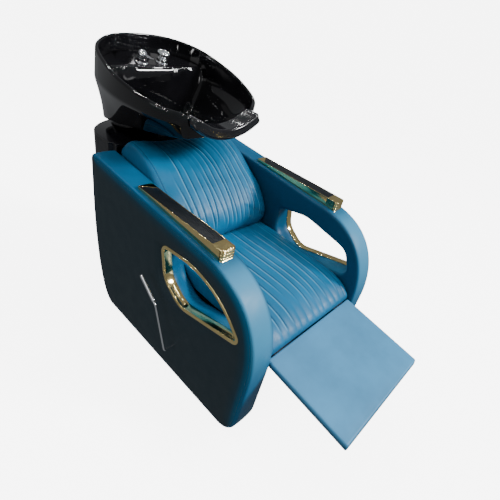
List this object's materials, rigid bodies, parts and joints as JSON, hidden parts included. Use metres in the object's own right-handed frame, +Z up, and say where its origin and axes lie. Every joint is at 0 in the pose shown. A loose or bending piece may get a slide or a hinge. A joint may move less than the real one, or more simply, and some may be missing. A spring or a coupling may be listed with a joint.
{
  "type": "shampoo backwash unit",
  "caption": "Salon backwash chair with upholstered side panels, gold-lined windows, lever-worked footrest and a tilting black ceramic basin on a rear housing.",
  "frame": {"origin": "on the floor, on the centre plane, at the middle of the floor anchor plate", "axes": "+Z up; the sitter faces -Y; +X to the sitter's left; the basin is at +Y"},
  "size_m": [0.733, 1.4882, 1.035],
  "materials": {
    "upholstery_band": "soft satin",
    "facing": "matt grained",
    "cushion": "satin grained",
    "footrest_cover": "satin grained",
    "gold": "polished",
    "arm_pad": "satin",
    "plywood": "raw",
    "frame_paint": "powder coat",
    "steel": "bright zinc",
    "chrome": "polished",
    "bronze": "plain",
    "black_gloss": "high gloss",
    "black_shell": "fine texture",
    "ceramic": "high gloss glaze",
    "gel": "smooth gel",
    "rubber": "matt",
    "white_plastic": "matt"
  },
  "bodies": {
    "chassis": {"armrest_front_cap_left": "gold", "armrest_front_cap_right": "gold", "armrest_pad_left": "arm_pad", "armrest_pad_right": "arm_pad", "armrest_rail_left": "gold", "armrest_rail_right": "gold", "back_board": "plywood", "back_cushion": "cushion", "back_supports": "frame_paint", "basin_column": "frame_paint", "floor_anchor_plate": "frame_paint", "floor_frame_tubes": "frame_paint", "footrest_hinge_lugs": "frame_paint", "glide_feet": "rubber", "hatch_screws": "steel", "housing_top": "black_gloss", "inlet_bracket": "frame_paint", "rear_shell": "black_shell", "seat_board": "plywood", "seat_cushion": "cushion", "seat_frame_tubes": "frame_paint", "seat_legs": "frame_paint", "service_hatch": "black_shell", "shaft_bushes": "bronze", "shaft_hanger": "frame_paint", "side_board_left": "plywood", "side_board_right": "plywood", "side_facing_left": "facing", "side_facing_right": "facing", "side_upholstery_left": "upholstery_band", "side_upholstery_right": "upholstery_band", "tilt_pin": "steel", "tilt_yoke": "frame_paint", "water_inlets": "bronze", "window_trim_left": "gold", "window_trim_right": "gold"},
    "lever": {"torque_shaft": "steel", "crank_arm": "frame_paint", "shaft_collar": "steel", "lever_arm": "chrome", "lever_grip": "chrome"},
    "rod": {"push_rod": "frame_paint"},
    "footrest": {"footrest_cushion": "footrest_cover", "footrest_board": "plywood", "footrest_arm": "frame_paint", "footrest_hinge_leaves": "frame_paint", "footrest_hinge_pins": "steel"},
    "basin_tilting": {"basin": "ceramic", "neck_rest": "gel", "drain_strainer": "chrome", "drain_gasket": "rubber", "drain_locknut": "white_plastic", "drain_tailpiece": "white_plastic", "basin_bracket": "frame_paint", "mixer_body": "chrome", "shower_holder": "chrome"},
    "mixer_swivel": {"mixer_cap": "chrome"},
    "mixer_handle": {"mixer_lever": "chrome"},
    "shower": {"hand_shower": "chrome"}
  },
  "joints": [
    {"name": "footrest_swing", "type": "hinge", "parent": "chassis", "child": "footrest", "pos_m": [0, -0.44, 0.337], "axis": [1, 0, 0], "range_deg": [0, 78]},
    {"name": "lever_turn", "type": "hinge", "parent": "chassis", "child": "lever", "pos_m": [0, -0.115, 0.17], "axis": [1, 0, 0], "range_deg": [0, 78]},
    {"name": "push_rod_pivot", "type": "hinge", "parent": "lever", "child": "rod", "pos_m": [0, -0.115, 0.11], "axis": [1, 0, 0], "range_deg": [-78, 0]},
    {"name": "basin_tilt", "type": "hinge", "parent": "chassis", "child": "basin_tilting", "pos_m": [0, 0.59, 0.719], "axis": [1, 0, 0], "range_deg": [0, 6]},
    {"name": "mixer_turn", "type": "hinge", "parent": "basin_tilting", "child": "mixer_swivel", "pos_m": [-0.04, 0.59541, 0.97185], "axis": [0, -0.2455, 0.9694], "range_deg": [-45, 45]},
    {"name": "mixer_lift", "type": "hinge", "parent": "mixer_swivel", "child": "mixer_handle", "pos_m": [-0.04, 0.60813, 0.9827], "axis": [-1, 0, 0], "range_deg": [0, 20]},
    {"name": "shower_lift", "type": "slide", "parent": "basin_tilting", "child": "shower", "axis": [0, -0.2455, 0.9694], "range_m": [0, 0.12]}
  ],
  "couplings": [
    {"joint": "lever_turn", "follows": "footrest_swing", "ratio": 1},
    {"joint": "push_rod_pivot", "follows": "footrest_swing", "ratio": -1}
  ]
}
